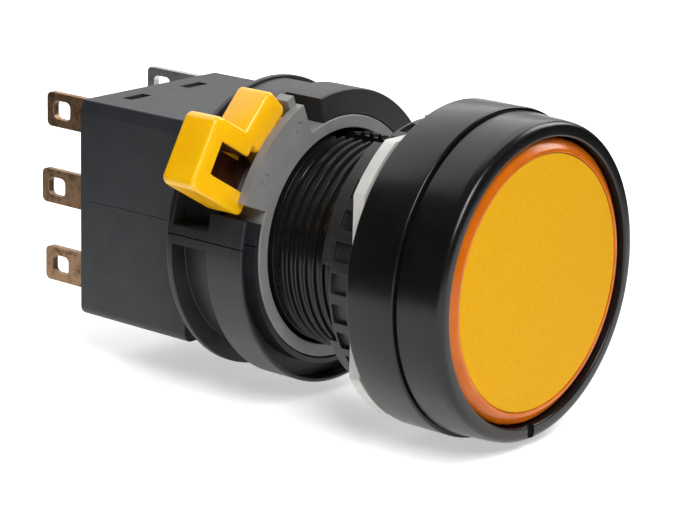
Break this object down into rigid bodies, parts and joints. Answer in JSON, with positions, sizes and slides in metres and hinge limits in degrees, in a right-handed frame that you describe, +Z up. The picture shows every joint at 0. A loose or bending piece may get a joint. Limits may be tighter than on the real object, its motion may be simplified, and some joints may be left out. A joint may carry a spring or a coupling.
{
  "type": "industrial push button",
  "caption": "Illuminated round push button with a threaded panel barrel, ring nut, quarter-turn mounting adaptor with a lock lever, and a rear contact block with tab terminals.",
  "frame": {"origin": "on the button's axis, at the rear face of the head's collar, which rests on the front of the panel", "axes": "-Y out of the button's face towards the user, +Y through the panel towards the contact block, +Z up with the barrel's keyway on top"},
  "size_m": [0.0375, 0.0604, 0.0328],
  "materials": {
    "head_black": "satin moulded plastic",
    "nut_black": "matte moulded plastic, scuffed",
    "seal_rubber": "matte rubber",
    "plate_metal": "plated sheet metal",
    "lens_amber": "clear amber plastic",
    "disc_yellow": "fine grained translucent plastic",
    "diffuser_white": "milky plastic",
    "holder_white": "moulded plastic",
    "spring_steel": "drawn wire",
    "adaptor_charcoal": "matte moulded plastic",
    "lock_grey": "matte moulded plastic",
    "lever_yellow": "glossy moulded plastic",
    "block_charcoal": "matte moulded plastic",
    "terminal_bronze": "tarnished plated metal",
    "terminal_silver": "plated metal",
    "contact_silver": "plain metal",
    "blade_copper": "spring copper alloy",
    "lamp_lens": "frosted lamp body",
    "lamp_brass": "plated lamp cap"
  },
  "bodies": {
    "operator": {"bezel_ring": "head_black", "operator_barrel": "head_black", "panel_gasket": "seal_rubber", "anti_rotation_plate": "plate_metal"},
    "button": {"button_lens": "lens_amber", "legend_disc": "disc_yellow", "light_diffuser": "diffuser_white", "lens_holder": "holder_white", "wiper_seal": "seal_rubber", "button_spring": "spring_steel"},
    "nut": {"ring_nut": "nut_black"},
    "unit": {"adaptor_upper": "adaptor_charcoal", "adaptor_lower": "adaptor_charcoal", "block_housing": "block_charcoal", "block_rear_cover": "block_charcoal", "terminal_normally_open": "terminal_bronze", "terminal_common": "terminal_bronze", "terminal_normally_closed": "terminal_bronze", "lamp_terminal_upper": "terminal_silver", "lamp_terminal_lower": "terminal_silver", "contact_rivets": "contact_silver", "contact_spring": "spring_steel", "led_lamp": "lamp_lens", "lamp_base": "lamp_brass", "lamp_socket": "holder_white", "lamp_centre_contact": "blade_copper"},
    "lock": {"lock_ring": "lock_grey", "lock_lever": "lever_yellow"},
    "contact": {"contact_plunger": "holder_white", "moving_contact": "blade_copper"}
  },
  "joints": [
    {"name": "button_press", "type": "slide", "parent": "operator", "child": "button", "axis": [0, 1, 0], "range_m": [0, 0.0026], "stiffness_N_per_m": 800, "springref_m": -0.004, "deforming": ["button_spring"]},
    {"name": "nut_turn", "type": "hinge", "parent": "operator", "child": "nut", "pos_m": [0, 0.003, 0], "axis": [0, 1, 0], "continuous": true},
    {"name": "unit_pull_off", "type": "slide", "parent": "operator", "child": "unit", "axis": [0, 1, 0], "range_m": [0, 0.025]},
    {"name": "lock_turn", "type": "hinge", "parent": "unit", "child": "lock", "pos_m": [0, 0.0168, 0], "axis": [0, 1, 0], "range_deg": [0, 9]},
    {"name": "contact_press", "type": "slide", "parent": "unit", "child": "contact", "axis": [0, 1, 0], "range_m": [0, 0.0026], "deforming": ["contact_spring"]}
  ],
  "couplings": [
    {"joint": "contact_press", "follows": "button_press", "ratio": 1}
  ]
}
